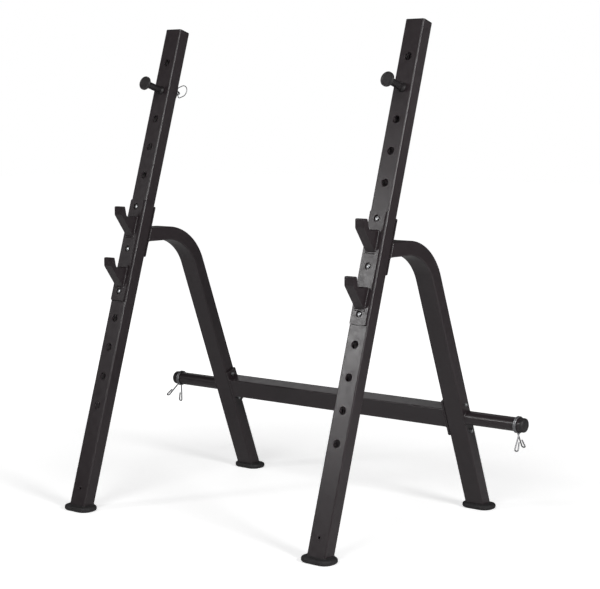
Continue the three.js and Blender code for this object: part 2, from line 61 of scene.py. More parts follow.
SIDES = {"left": -1, "right": 1}

# Uprights
UPRIGHT_LENGTH = 1.811
UPRIGHT_LEAN = math.radians(17.1)
CAP_THICKNESS = 0.003
CAP_ROUNDING = 0.0012
CAP_PLUG = 0.015
PIN_HOLE_RADIUS = 0.0133
PIN_HOLE_TOP = 0.130
PIN_HOLE_PITCH = 0.1084
PIN_HOLE_COUNT = 13
PIN_HOLE_CHAMFER = 0.0007
PLUG_HOLE_RADIUS = 0.0045
PLUG_HOLE_HEIGHT = 0.076

# Rear legs
LEG_LEAN = math.radians(21.3)
LEG_STUB_DROP = 0.0096
LEG_BEND_RADIUS = 0.183
LEG_PLATE_THICKNESS = 0.006
LEG_PLATE_MARGIN = 0.015

# Feet
FOOT_WIDTH = 0.122
FOOT_DEPTH = 0.084
FOOT_HEIGHT = 0.019
FOOT_CORNER = 0.036
FOOT_ROUNDING = 0.008
FOOT_FLOOR = 0.006
FOOT_LIP = 0.0022
# How far the lip stands out from the tube, and the share of its height reached there
FOOT_LIP_PROFILE = [(FOOT_LIP + 0.0008, 0.0), (FOOT_LIP, 0.7), (FOOT_LIP * 0.5, 1.0), (SEAT_GAP, 0.8)]

# Bar catches
CATCH_FOOT = 0.770
CATCH_LENGTH = 0.381
CATCH_WIDTH = 0.064
CATCH_THICKNESS = 0.008
HOOK_SEATS = (0.167, 0.3585)
HOOK_WIDTH = 0.038
HOOK_REACH = 0.092
HOOK_LIP_THICKNESS = 0.016
HOOK_LIP_HEIGHT = 0.031
HOOK_LIP_SLOPE = math.radians(12)
HOOK_DROP = 0.116
HOOK_CORNER = 0.003
HOOK_LIP_CORNER = 0.009
MOUTH_DEPTH = 0.040
SADDLE_RADIUS = 0.015

# Bolts and nuts. The hexagons' corners are turned off down to a circle inside their flats.
BOLT_RADIUS = 0.004
BOLT_CLEARANCE = 0.0005
BOLT_HEAD_WIDTH = 0.013
BOLT_HEAD_HEIGHT = 0.0053
BOLT_HEAD_CROWN = 0.0008
BOLT_CROWN_RINGS = (0.1, 0.35, 0.6, 0.85)
BOLT_WASHER_HEIGHT = BOLT_HEAD_HEIGHT * 0.3
BOLT_WASHER_STEP = BOLT_HEAD_HEIGHT * 0.06
BOLT_SHANK_INSET = BOLT_HEAD_HEIGHT * 0.5
BOLT_TAIL = 0.003
BOLT_END_CHAMFER = 0.0009
HEX_CIRCLE = BOLT_HEAD_WIDTH * 0.475
HEX_CHAMFER = math.radians(30)
NUT_HEIGHT = 0.0065
THREAD_PITCH = 0.00125
THREAD_DEPTH = 0.0006
# Shares of the pitch along the thread, and of its depth
THREAD_PROFILE = [(0.0, 0), (0.15, 0), (0.5, 1), (0.62, 1)]
CATCH_BOLT_TURNS = [math.radians(11), math.radians(28), math.radians(45)]
BEAM_BOLT_TURNS = [math.radians(7), math.radians(30)]
CATCH_BOLT_FOOT = 0.035
CATCH_BOLT_SPACING = 0.160
RECESS_RADIUS = 0.0115
RECESS_DEPTH = 0.005

# Crossbeam and its end plates
BEAM_HEIGHT = 0.382
END_PLATE_THICKNESS = 0.008
END_PLATE_LENGTH = 0.140
BEAM_BOLT_SPACING = 0.106

# Plate horns and spring clips
HORN_RADIUS = 0.0245
HORN_LENGTH = 0.223
HORN_WALL = 0.003
HORN_CAP_RADIUS = 0.0253
HORN_CAP_LENGTH = 0.014
HORN_CAP_PLUG = 0.012
HORN_CAP_ROUNDING = 0.0055
HORN_CAP_CROWN = 0.0012
CLIP_WIRE = 0.005
CLIP_TURNS = 2
CLIP_TURN_GAP = 0.0009
CLIP_HORN_GAP = 0.0004
CLIP_END_GAP = 0.007
CLIP_BEND_RADIUS = 0.006
CLIP_LEG_SPREAD = math.radians(28)
CLIP_LEG_LENGTH = 0.056
CLIP_LOOP_RADIUS = 0.0065
CLIP_LOOP_TURN = math.radians(190)
CLIP_LOOP_RETURN = 0.026
CLIP_TURN = {"left": math.radians(-26), "right": math.radians(1)}

# Rack pins, lynch pins and rings. An easing is the radius that rounds off a turned piece's edge.
PIN_RADIUS = 0.0125
PIN_REACH = 0.088
PIN_TAIL = 0.026
PIN_COLLAR_RADIUS = 0.016
PIN_COLLAR_LENGTH = 0.004
PIN_FLARE_LENGTH = 0.008
PIN_FLARE_EASING = 0.006
PIN_COLLAR_EASING = 0.002
PIN_SEAT_EASING = 0.0006
PIN_TAIL_CHAMFER = 0.0015
PIN_TAIL_EASING = 0.0008
PIN_HOLE = 1
PIN_TURN = math.radians(20)
DISC_RADIUS = 0.0255
DISC_THICKNESS = 0.008
DISC_SOCKET = 0.004
DISC_ROUNDING = 0.0018
DISC_DISH_DEPTH = 0.0008
DISC_DISH_FLOOR = DISC_RADIUS * 0.72
DISC_DISH_RIM = DISC_RADIUS * 0.78
DISC_DISH_EASING = 0.001
DISC_SOCKET_EASING = 0.0004
LYNCH_RADIUS = 0.004
LYNCH_STANDOFF = 0.014
LYNCH_TIP = 0.002
LYNCH_HEAD_RADIUS = 0.007
LYNCH_HEAD_LENGTH = 0.020
LYNCH_EYE_INSET = 0.006
LYNCH_CHAMFER = 0.0015
LYNCH_TIP_EASING = 0.001
LYNCH_NECK_EASING = 0.0008
LYNCH_HEAD_EASING = 0.003
RING_WIRE = 0.0032
RING_HEIGHT = 0.046
RING_REACH = 0.046
RING_CORNER = 0.008
RING_END_GAP = 0.003

# Edges and plates
EDGE_ROUNDING = 0.0012
PLATE_CORNER = 0.003
SHARP_EDGE = math.radians(35)
SHARP_HEX_EDGE = math.radians(20)
SHARP_WELD_EDGE = math.radians(60)

# Welds. Each ripple swells towards its start, and noise makes the bead uneven.
WELD_RADIUS = 0.0028
SLIM_WELD_RADIUS = WELD_RADIUS * 0.8
FINE_WELD_RADIUS = WELD_RADIUS * 0.6
WELD_STANDOFF = WELD_RADIUS * 0.25
WELD_RIPPLE = 0.0065
WELD_STEP = 0.0016
WELD_LEAST = 0.88
WELD_SWELL = 0.18
WELD_UNEVEN = 0.10
WELD_NOISE = 60.0
WELD_END = 0.5

# Eased ends of wires: how far behind the end, and how thick there, both as shares of the wire's radius
WIRE_END = [(0.0, 0.55), (0.12, 0.83), (0.45, 1.0)]

# Facets
EDGE_STEPS = 3
EASING_STEPS = 4
FILLET_STEPS = 5
CORNER_STEPS = 8
CURVE_STEPS = 10
SADDLE_STEPS = 12
BEND_STEPS = 40
CURL_STEPS = 48
WELD_SIDES = 12
WIRE_SIDES = 16
HOLE_SIDES = 48
HEX_SIDES = 48
LYNCH_SIDES = 48
ROUND_SIDES = 64

# Places worked out from the sizes above
UPRIGHT_BACK = TUBE_DEPTH / 2
LEG_PLATE_FRONT = UPRIGHT_BACK + SEAT_GAP
LEG_PLATE_BACK = LEG_PLATE_FRONT + LEG_PLATE_THICKNESS
CATCH_BACK = -TUBE_DEPTH / 2 - SEAT_GAP
CATCH_FRONT = CATCH_BACK - CATCH_THICKNESS
CATCH_BOLTS = [CATCH_FOOT + CATCH_BOLT_FOOT + row * CATCH_BOLT_SPACING for row in range(3)]
LEG_PLATE_MIDDLE = (CATCH_BOLTS[1] + CATCH_BOLTS[2]) / 2
LEG_PLATE_HALF = (CATCH_BOLTS[2] - CATCH_BOLTS[1]) / 2 + LEG_PLATE_MARGIN
LEG_PLATE_LEVEL = LEG_PLATE_MIDDLE * math.cos(UPRIGHT_LEAN) - LEG_PLATE_BACK * math.sin(UPRIGHT_LEAN)
LEG_STUB_HEIGHT = LEG_PLATE_LEVEL - LEG_STUB_DROP
BOLT_HOLE_RADIUS = BOLT_RADIUS + BOLT_CLEARANCE
BEAM_BOLTS = [BEAM_HEIGHT - BEAM_BOLT_SPACING / 2, BEAM_HEIGHT + BEAM_BOLT_SPACING / 2]
PLATE_INSIDE = TUBE_WIDTH / 2 + SEAT_GAP
PLATE_OUTSIDE = PLATE_INSIDE + END_PLATE_THICKNESS
BEAM_HALF = SPACING / 2 - PLATE_OUTSIDE - SEAT_GAP
HORN_START = TUBE_WIDTH / 2 + SEAT_GAP
HORN_END = HORN_START + HORN_LENGTH
PIN_HEIGHT = UPRIGHT_LENGTH - PIN_HOLE_TOP - PIN_HOLE * PIN_HOLE_PITCH
PIN_FACE = -TUBE_DEPTH / 2 - SEAT_GAP
LYNCH_PLACE = UPRIGHT_BACK + LYNCH_STANDOFF
LYNCH_HEAD_START = PIN_RADIUS + SEAT_GAP
RING_PIVOT = LYNCH_HEAD_START + LYNCH_HEAD_LENGTH - LYNCH_EYE_INSET

# Turns for a piece made about X: one lays it along Y, the other points it the other way along X
BACKWARD = Matrix.Rotation(math.pi / 2, 4, "Z")
ABOUT = Matrix.Rotation(math.pi, 4, "Z")


# Places

def move(x, y, z):
    return Matrix.Translation((x, y, z))


def outward_turn(side):
    return ABOUT if side == "left" else Matrix.Identity(4)


def inward_turn(side):
    return Matrix.Identity(4) if side == "left" else ABOUT


def front_to_back(height):
    """The axis of a hole through an upright."""
    return move(0, 0, height) @ BACKWARD


def side_place(side):
    return move(SIDES[side] * SPACING / 2, -SETBACK / 2, 0)


def lean_place(side):
    return side_place(side) @ Matrix.Rotation(-UPRIGHT_LEAN, 4, "X")


def leg_place(side):
    """The rear leg's straight part, from its foot up."""
    return side_place(side) @ move(0, SETBACK, 0) @ Matrix.Rotation(LEG_LEAN, 4, "X")


def horn_place(side):
    """The horn's axis, where it crosses the rear leg."""
    back = SETBACK - BEAM_HEIGHT * math.sin(LEG_LEAN)
    return side_place(side) @ move(0, back, BEAM_HEIGHT * math.cos(LEG_LEAN))


def pin_place(side):
    turn = Matrix.Rotation(SIDES[side] * PIN_TURN, 4, "Y")
    return lean_place(side) @ move(0, 0, PIN_HEIGHT) @ turn


def lynch_place(side):
    return pin_place(side) @ move(0, LYNCH_PLACE, 0) @ inward_turn(side)


# Materials

NOISE_ROUGHNESS = 0.55


class Nodes:
    """Short calls for one material's node tree."""

    def __init__(self, name):
        self.material = bpy.data.materials.new(name)
        self.material.use_nodes = True
        self.tree = self.material.node_tree
        self.shader = self.tree.nodes["Principled BSDF"]
        self.place = self.tree.nodes.new("ShaderNodeTexCoord").outputs["Object"]

    def node(self, kind, **values):
        made = self.tree.nodes.new(kind)
        for key, value in values.items():
            setattr(made, key, value)
        return made

    def link(self, source, target):
        self.tree.links.new(source, target)

    def noise(self, scale, detail):
        made = self.node("ShaderNodeTexNoise")
        made.inputs["Scale"].default_value = scale
        made.inputs["Detail"].default_value = detail
        made.inputs["Roughness"].default_value = NOISE_ROUGHNESS
        self.link(self.place, made.inputs["Vector"])
        return made.outputs["Fac"]

    def spread(self, source, low, high, share_low=0.35, share_high=0.65):
        """Maps the middle of a source's values, as of a noise, to a range."""
        made = self.node("ShaderNodeMapRange")
        made.inputs["From Min"].default_value = share_low
        made.inputs["From Max"].default_value = share_high
        made.inputs["To Min"].default_value = low
        made.inputs["To Max"].default_value = high
        self.link(source, made.inputs["Value"])
        return made.outputs["Result"]

    def colours(self, source, stops):
        made = self.node("ShaderNodeValToRGB")
        ramp = made.color_ramp
        while len(ramp.elements) < len(stops):
            ramp.elements.new(1.0)
        for element, (place, colour) in zip(ramp.elements, stops):
            element.position = place
            element.color = (*colour, 1.0)
        self.link(source, made.inputs["Fac"])
        return made.outputs["Color"]

    def bump(self, source, strength, distance, before=None):
        made = self.node("ShaderNodeBump")
        made.inputs["Strength"].default_value = strength
        made.inputs["Distance"].default_value = distance
        self.link(source, made.inputs["Height"])
        if before:
            self.link(before, made.inputs["Normal"])
        return made.outputs["Normal"]

    def finish(self, **inputs):
        for key, value in inputs.items():
            socket = self.shader.inputs[key.replace("_", " ")]
            if hasattr(value, "is_output"):
                self.link(value, socket)
            else:
                socket.default_value = value
        return self.material


def powder_coat():
    """Satin charcoal powder coat: slight clouding, a fine orange peel and a finer grain on it."""
    n = Nodes("powder_coat")
    clouds = n.noise(7.0, 4.0)
    colour = n.colours(clouds, [(0.3, (0.0200, 0.0146, 0.0166)), (0.7, (0.0235, 0.0176, 0.0198))])
    peel = n.noise(520.0, 2.0)
    grain = n.noise(1900.0, 1.0)
    normal = n.bump(grain, 0.05, 0.0002, n.bump(peel, 0.16, 0.0004))
    roughness = n.spread(n.noise(45.0, 5.0), 0.29, 0.35)
    return n.finish(Base_Color=colour, Roughness=roughness, Normal=normal)


def plain_finish(name, clouds, shades, grain, relief, dulling, roughness, **inputs):
    """A finish with clouds between two shades, a fine grain and an uneven dullness.

    The clouds, grain and dulling are noises of a scale and a detail. Each shade has its place in the
    clouds, the relief is the grain's strength and height, and the roughness runs between two values.
    """
    n = Nodes(name)
    colour = n.colours(n.noise(*clouds), shades)
    normal = n.bump(n.noise(*grain), *relief)
    uneven = n.spread(n.noise(*dulling), *roughness)
    return n.finish(Base_Color=colour, Roughness=uneven, Normal=normal, **inputs)


PLAIN_FINISHES = {
    # The tubes' uncoated inner walls: pale, dull mill finish
    "bare_steel": {
        "clouds": (40.0, 4.0), "shades": [(0.3, (0.50, 0.47, 0.48)), (0.7, (0.62, 0.59, 0.60))],
        "grain": (600.0, 3.0), "relief": (0.15, 0.0003),
        "dulling": (150.0, 4.0), "roughness": (0.60, 0.80)},
    "black_steel": {
        "clouds": (30.0, 4.0), "shades": [(0.3, (0.014, 0.012, 0.013)), (0.7, (0.022, 0.020, 0.021))],
        "grain": (700.0, 2.0), "relief": (0.12, 0.0003),
        "dulling": (90.0, 5.0), "roughness": (0.30, 0.44)},
    # Injection-moulded plastic with a fine eroded grain
    "black_plastic": {
        "clouds": (60.0, 3.0), "shades": [(0.3, (0.012, 0.011, 0.012)), (0.7, (0.018, 0.017, 0.017))],
        "grain": (1300.0, 3.0), "relief": (0.20, 0.0003),
        "dulling": (200.0, 4.0), "roughness": (0.46, 0.60)},
    # Moulded rubber, matte, with slightly paler patches
    "foot_rubber": {
        "clouds": (90.0, 6.0), "shades": [(0.35, (0.010, 0.009, 0.010)), (0.75, (0.022, 0.020, 0.021))],
        "grain": (900.0, 4.0), "relief": (0.35, 0.0004),
        "dulling": (120.0, 4.0), "roughness": (0.62, 0.82)},
    # Zinc gone a little dull, with a faint crystalline mottling
    "zinc_plate": {
        "clouds": (420.0, 4.0), "shades": [(0.3, (0.36, 0.37, 0.38)), (0.7, (0.48, 0.49, 0.50))],
        "grain": (800.0, 3.0), "relief": (0.08, 0.0002),
        "dulling": (350.0, 5.0), "roughness": (0.30, 0.46), "Metallic": 1.0},
    # Dull spring wire with slight unevenness from drawing
    "spring_steel": {
        "clouds": (160.0, 3.0), "shades": [(0.3, (0.25, 0.25, 0.26)), (0.7, (0.33, 0.33, 0.34))],
        "grain": (1500.0, 2.0), "relief": (0.06, 0.0002),
        "dulling": (260.0, 5.0), "roughness": (0.44, 0.56), "Metallic": 1.0},
}
MATERIALS = {"powder_coat": powder_coat()}
MATERIALS.update((name, plain_finish(name, **looks)) for name, looks in PLAIN_FINISHES.items())


# Outlines and sections, as lists of 2D points

def arc(centre, radius, start, sweep, steps):
    points = []
    for step in range(steps + 1):
        angle = start + sweep * step / steps
        points.append((centre[0] + radius * math.cos(angle), centre[1] + radius * math.sin(angle)))
    return points


def rounded_rectangle(width, height, radius):
    x = width / 2 - radius
    y = height / 2 - radius
    points = []
    for corner, centre in enumerate([(x, y), (-x, y), (-x, -y), (x, -y)]):
        points += arc(centre, radius, corner * math.pi / 2, math.pi / 2, CORNER_STEPS)
    return points


def tube_outline(grow=0.0):
    return rounded_rectangle(TUBE_WIDTH + 2 * grow, TUBE_DEPTH + 2 * grow, TUBE_CORNER + grow)


def filleted(points, radii, steps=FILLET_STEPS):
    """An outline whose corners are rounded by the given radii."""
    made = []
    count = len(points)
    for index, radius in enumerate(radii):
        here = Vector(points[index])
        before = (Vector(points[index - 1]) - here).normalized()
        after = (Vector(points[(index + 1) % count]) - here).normalized()
        if not radius:
            made.append(tuple(here))
            continue
        half = before.angle(after) / 2
        reach = radius / math.tan(half)
        centre = here + (before + after).normalized() * radius / math.sin(half)
        start = here + before * reach - centre
        end = here + after * reach - centre
        for step in range(steps + 1):
            ray = start.lerp(end, step / steps).normalized() * radius
            made.append(tuple(centre + ray))
    return made


# Meshes

def mesh_of(shape):
    mesh = bpy.data.meshes.new("shape")
    bmesh.ops.recalc_face_normals(shape, faces=shape.faces)
    shape.to_mesh(mesh)
    shape.free()
    return mesh


def new_object(name, shapes, material):
    """A piece made of one or more closed shapes."""
    whole = bmesh.new()
    for shape in shapes:
        part = mesh_of(shape)
        whole.from_mesh(part)
        bpy.data.meshes.remove(part)
    mesh = bpy.data.meshes.new(name)
    whole.to_mesh(mesh)
    whole.free()
    mesh.materials.append(MATERIALS[material])
    made = bpy.data.objects.new(name, mesh)
    bpy.context.scene.collection.objects.link(made)
    return made


def transformed(shape, place):
    bmesh.ops.transform(shape, matrix=place, verts=shape.verts)
    return shape


def loft(rings, closed=False):
    """A skin over rings of points, with its ends filled or joined to each other."""
    shape = bmesh.new()
    rows = [[shape.verts.new(point) for point in ring] for ring in rings]
    count = len(rows[0])
    pairs = list(zip(rows, rows[1:]))
    if closed:
        pairs.append((rows[-1], rows[0]))
    for low, high in pairs:
        for index in range(count):
            follow = (index + 1) % count
            shape.faces.new((low[index], low[follow], high[follow], high[index]))
    if not closed:
        shape.faces.new(list(reversed(rows[0])))
        shape.faces.new(rows[-1])
    return shape


def pipe(outer, inner):
    """A hollow loft: out along the outer rings and back inside."""
    return loft(outer + list(reversed(inner)), closed=True)


def prism(outline, depth, rounding=EDGE_ROUNDING):
    """An outline given a depth along Z, with rounded edges; it is centred on zero."""
    shape = loft([[(x, y, way * depth / 2) for x, y in outline] for way in (-1, 1)])
    rims = [edge for edge in shape.edges if abs(edge.verts[0].co.z - edge.verts[1].co.z) < depth / 2]
    bmesh.ops.bevel(shape, geom=rims, offset=rounding, segments=EDGE_STEPS, affect="EDGES", profile=0.5)
    return shape


def lathe(profile, sides=ROUND_SIDES):
    """A turned solid about X from points of (radius, place), from axis to axis or all the way round."""
    shape = bmesh.new()
    rows = []
    for radius, place in profile:
        if radius == 0:
            rows.append([shape.verts.new((place, 0, 0))])
            continue
        ring = []
        for side in range(sides):
            angle = 2 * math.pi * side / sides
            ring.append(shape.verts.new((place, radius * math.cos(angle), radius * math.sin(angle))))
        rows.append(ring)
    pairs = list(zip(rows, rows[1:]))
    if profile[0][0] != 0:
        pairs.append((rows[-1], rows[0]))
    for low, high in pairs:
        for side in range(sides):
            follow = (side + 1) % sides
            if len(low) == 1:
                shape.faces.new((low[0], high[side], high[follow]))
            elif len(high) == 1:
                shape.faces.new((low[side], low[follow], high[0]))
            else:
                shape.faces.new((low[side], low[follow], high[follow], high[side]))
    return shape


def eased_profile(*corners):
    """A turned piece's profile from corners of (radius, place), with a third value where it is eased."""
    points = [corner[:2] for corner in corners]
    made = [points[0]]
    for index in range(1, len(corners) - 1):
        if len(corners[index]) == 3:
            made += filleted(points[index - 1:index + 2], [0, corners[index][2], 0], EASING_STEPS)[1:-1]
        else:
            made.append(points[index])
    return made + [points[-1]]


def swept_rings(line, radii, sides, closed=False):
    """Round sections along a line, carried along without twist."""
    normal = None
    rings = []
    last = len(line) - 1
    for index, here in enumerate(line):
        before = line[index - 1] if index or closed else here
        after = line[(index + 1) % len(line)] if index < last or closed else here
        tangent = (after - before).normalized()
        if normal is None:
            normal = tangent.orthogonal().normalized()
        normal = (normal - tangent * normal.dot(tangent)).normalized()
        across = tangent.cross(normal)
        ring = []
        for side in range(sides):
            angle = 2 * math.pi * side / sides
            ring.append(here + radii[index] * (math.cos(angle) * normal + math.sin(angle) * across))
        rings.append(ring)
    return rings


def wire_shape(points, radius):
    """A round wire along points, with eased ends."""
    start = (points[1] - points[0]).normalized() * radius
    end = (points[-1] - points[-2]).normalized() * radius
    line = [points[0] + start * inset for inset, _ in WIRE_END] + points[1:-1]
    line += [points[-1] - end * inset for inset, _ in reversed(WIRE_END)]
    eased = [radius * share for _, share in WIRE_END]
    radii = eased + [radius] * (len(points) - 2) + eased[::-1]
    return loft(swept_rings(line, radii, WIRE_SIDES))


def cutter(profile, place):
    """A turned shape about X, put where it cuts into a piece."""
    made = bpy.data.objects.new("cutter", mesh_of(lathe(profile, HOLE_SIDES)))
    bpy.context.scene.collection.objects.link(made)
    made.matrix_world = place
    return made


def through_hole(radius, chamfer, front, back, place):
    """A cutter right through a wall or a tube, with its two mouths flared at the given faces."""
    flare = radius + chamfer + TUBE_WALL
    profile = [(0, front - TUBE_WALL), (flare, front - TUBE_WALL), (radius, front + chamfer),
               (radius, back - chamfer), (flare, back + TUBE_WALL), (0, back + TUBE_WALL)]
    return cutter(profile, place)


def recess(radius, chamfer, front, floor, place):
    """A cutter for a blind hole from its flared mouth to its flat floor."""
    flare = radius + chamfer + TUBE_WALL
    profile = [(0, front - TUBE_WALL), (flare, front - TUBE_WALL), (radius, front + chamfer),
               (radius, floor), (0, floor)]
    return cutter(profile, place)


def cut(piece, cutters):
    """Cuts closed shapes out of a piece, and leaves a plain mesh."""
    for tool in cutters:
        change = piece.modifiers.new("cut", "BOOLEAN")
        change.object = tool
        change.operation = "DIFFERENCE"
        change.solver = "EXACT"
    bpy.context.view_layer.update()
    graph = bpy.context.evaluated_depsgraph_get()
    made = bpy.data.meshes.new_from_object(piece.evaluated_get(graph))
    old = piece.data
    piece.modifiers.clear()
    piece.data = made
    bpy.data.meshes.remove(old)
    for tool in cutters:
        bpy.data.objects.remove(tool)


def settle(piece, body, slot, place, *nodes, sharp=SHARP_EDGE):
    """Puts a piece where it belongs, for good, on its body."""
    piece.data.transform(place)
    piece.data.shade_smooth()
    piece.data.set_sharp_from_angle(angle=sharp)
    weighted = piece.modifiers.new("flat faces stay flat", "WEIGHTED_NORMAL")
    weighted.keep_sharp = True
    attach(piece, body)
    if nodes:
        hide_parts(*nodes)


def weld(name, line, body, place, seed, radius=WELD_RADIUS, closed=True):
    """A weld bead along a line: small overlapping ripples, a little uneven."""
    stations = []
    count = len(line)
    for index in range(count if closed else count - 1):
        start = line[index]
        end = line[(index + 1) % count]
        steps = max(1, round((end - start).length / WELD_STEP))
        stations += [start.lerp(end, step / steps) for step in range(steps)]
    if not closed:
        stations.append(line[-1])
    sizes = []
    travelled = 0.0
    for index, here in enumerate(stations):
        before = stations[index - 1] if index or closed else here
        travelled += (here - before).length
        phase = (travelled / WELD_RIPPLE) % 1.0
        uneven = WELD_UNEVEN * noise.noise(here * WELD_NOISE + Vector((seed, 0, 0)))
        sizes.append(radius * (WELD_LEAST + WELD_SWELL * (1 - phase) ** 2 + uneven))
    if not closed:
        sizes[0] *= WELD_END
        sizes[-1] *= WELD_END
    rings = swept_rings(stations, sizes, WELD_SIDES, closed)
    piece = new_object(name, [loft(rings, closed=closed)], "powder_coat")
    settle(piece, body, "powder_coat", place, sharp=SHARP_WELD_EDGE)


# Uprights

def pin_hole_heights():
    heights = []
    for hole in range(PIN_HOLE_COUNT):
        height = UPRIGHT_LENGTH - PIN_HOLE_TOP - hole * PIN_HOLE_PITCH
        from_catch = abs(height - CATCH_FOOT - CATCH_LENGTH / 2)
        if from_catch > CATCH_LENGTH / 2 + PIN_RADIUS:
            heights.append(height)
    return heights


def bare_inside(piece):
    """Gives a tube's inner walls the uncoated steel, and leaves the holes' edges coated."""
    piece.data.materials.append(MATERIALS["bare_steel"])
    half_width = TUBE_WIDTH / 2 - COATED_DEPTH
    half_depth = TUBE_DEPTH / 2 - COATED_DEPTH
    for face in piece.data.polygons:
        if abs(face.center.x) < half_width and abs(face.center.y) < half_depth:
            face.material_index = 1


def upright(side):
    top = UPRIGHT_LENGTH - CAP_THICKNESS - SEAT_GAP
    bottom = FOOT_FLOOR + SEAT_GAP

    def ring(grow, height):
        made = []
        for x, y in tube_outline(grow):
            foot_end = (bottom + y * math.sin(UPRIGHT_LEAN)) / math.cos(UPRIGHT_LEAN)
            made.append(Vector((x, y, foot_end if height is None else height)))
        return made

    shape = pipe([ring(0, None), ring(0, top)], [ring(-TUBE_WALL, None), ring(-TUBE_WALL, top)])
    piece = new_object(f"upright_look_{side}", [shape], "powder_coat")
    front, back = -UPRIGHT_BACK, UPRIGHT_BACK
    cutters = [through_hole(PIN_HOLE_RADIUS, PIN_HOLE_CHAMFER, front, back, front_to_back(height))
               for height in pin_hole_heights()]
    cutters += [through_hole(BOLT_HOLE_RADIUS, 0, front, back, front_to_back(height))
                for height in CATCH_BOLTS]
    plug_hole = front_to_back(PLUG_HOLE_HEIGHT)
    cutters.append(recess(PLUG_HOLE_RADIUS, PIN_HOLE_CHAMFER, front, 0, plug_hole))
    cut(piece, cutters)
    bare_inside(piece)
    settle(piece, "frame", "powder_coat", lean_place(side), f"upright_{side}")


def upright_cap(side):
    """A thin plate, flush with the tube's sides and eased at its edges, on a plug inside the tube."""
    shape = prism(tube_outline(), CAP_THICKNESS, CAP_ROUNDING)
    plug = prism(tube_outline(-TUBE_WALL - SEAT_GAP), CAP_PLUG)
    transformed(plug, move(0, 0, -CAP_PLUG / 2))
    piece = new_object(f"upright_cap_look_{side}", [shape, plug], "black_plastic")
    middle = move(0, 0, UPRIGHT_LENGTH - CAP_THICKNESS / 2)
    settle(piece, "frame", "black_plastic", lean_place(side) @ middle, f"upright_cap_{side}")


# Feet

def foot(name, side, place, lean):
    """A moulded foot: a full, rounded flange with a low lip round the tube's socket."""
    quarter = [math.pi / 2 * step / CORNER_STEPS for step in range(CORNER_STEPS + 1)]
    eased = [(FOOT_ROUNDING * (1 - math.sin(angle)), FOOT_ROUNDING * (1 - math.cos(angle)))
             for angle in quarter]
    rims = eased + [(inset, FOOT_HEIGHT - drop) for drop, inset in eased]
    rows = []
    for inset, height in rims:
        outline = rounded_rectangle(FOOT_WIDTH - 2 * inset, FOOT_DEPTH - 2 * inset, FOOT_CORNER - inset)
        rows.append([Vector((x, y, height)) for x, y in outline])
    levels = [(grow, FOOT_HEIGHT + share * FOOT_LIP) for grow, share in FOOT_LIP_PROFILE]
    for grow, height in levels + [(SEAT_GAP, FOOT_FLOOR)]:
        row = []
        for x, y in tube_outline(grow):
            along = (height - y * math.sin(lean)) / math.cos(lean)
            row.append(Vector((x, y * math.cos(lean) - along * math.sin(lean), height)))
        rows.append(row)
    piece = new_object(f"{name}_look_{side}", [loft(rows)], "foot_rubber")
    settle(piece, "frame", "foot_rubber", place, f"{name}_{side}")


# Bar catches

def hook_outline():
    face = CATCH_THICKNESS / 2
    slope = math.tan(UPRIGHT_LEAN)
    lip_inside = HOOK_REACH - HOOK_LIP_THICKNESS
    saddle_level = SADDLE_RADIUS - MOUTH_DEPTH
    inset = (SADDLE_RADIUS - saddle_level * math.sin(HOOK_LIP_SLOPE)) / math.cos(HOOK_LIP_SLOPE)
    centre = (inset - lip_inside, saddle_level)
    saddle = arc(centre, SADDLE_RADIUS, 1.5 * math.pi, HOOK_LIP_SLOPE - math.pi / 2, SADDLE_STEPS)
    points = [(face - HOOK_DROP * slope, -HOOK_DROP), (face - MOUTH_DEPTH * slope, -MOUTH_DEPTH),
              *saddle, (-lip_inside, 0), (-HOOK_REACH, 0), (-HOOK_REACH, -HOOK_LIP_HEIGHT)]
    radii = [0, 0] + [0] * len(saddle) + [HOOK_CORNER, HOOK_CORNER, HOOK_LIP_CORNER]
    return filleted(points, radii)


def crosswise(shape):
    """Turns a shape whose depth lies along Z so that it lies along X, and its outline in Y and Z."""
    return transformed(shape, Matrix(((0, 0, 1, 0), (1, 0, 0, 0), (0, 1, 0, 0), (0, 0, 0, 1))))


def hook(seat):
    place = move(0, CATCH_FRONT, seat) @ Matrix.Rotation(UPRIGHT_LEAN, 4, "X")
    return transformed(crosswise(prism(hook_outline(), HOOK_WIDTH)), place)


def standing_plate(width, height, thickness):
    """A plate in X and Z, its thickness along Y, centred on zero."""
    outline = rounded_rectangle(width, height, PLATE_CORNER)
    return transformed(prism(outline, thickness), Matrix.Rotation(math.pi / 2, 4, "X"))


def bar_catch(side):
    plate = standing_plate(CATCH_WIDTH, CATCH_LENGTH, CATCH_THICKNESS)
    middle = move(0, CATCH_BACK - CATCH_THICKNESS / 2, CATCH_FOOT + CATCH_LENGTH / 2)
    piece = new_object(f"bar_catch_look_{side}", [transformed(plate, middle)], "powder_coat")
    floor = CATCH_FRONT + RECESS_DEPTH
    cutters = []
    for height in CATCH_BOLTS:
        place = front_to_back(height)
        cutters.append(recess(RECESS_RADIUS, PIN_HOLE_CHAMFER, CATCH_FRONT, floor, place))
        cutters.append(through_hole(BOLT_HOLE_RADIUS, 0, floor, CATCH_BACK, place))
    cut(piece, cutters)
    settle(piece, "frame", "powder_coat", lean_place(side), f"bar_catch_{side}")
    for name, seat in zip(("lower", "upper"), HOOK_SEATS):
        seat += CATCH_FOOT
        piece = new_object(f"{name}_hook_look_{side}", [hook(seat)], "powder_coat")
        settle(piece, "frame", "powder_coat", lean_place(side))
        top = seat - (MOUTH_DEPTH + EDGE_ROUNDING) / math.cos(UPRIGHT_LEAN)
        bottom = seat - HOOK_DROP / math.cos(UPRIGHT_LEAN)
        x = HOOK_WIDTH / 2
        line = [Vector((-x, CATCH_FRONT, top)), Vector((-x, CATCH_FRONT, bottom)),
                Vector((x, CATCH_FRONT, bottom)), Vector((x, CATCH_FRONT, top))]
        weld(f"{name}_hook_weld_{side}", line, "frame", lean_place(side), seed=3,
             radius=FINE_WELD_RADIUS, closed=False)


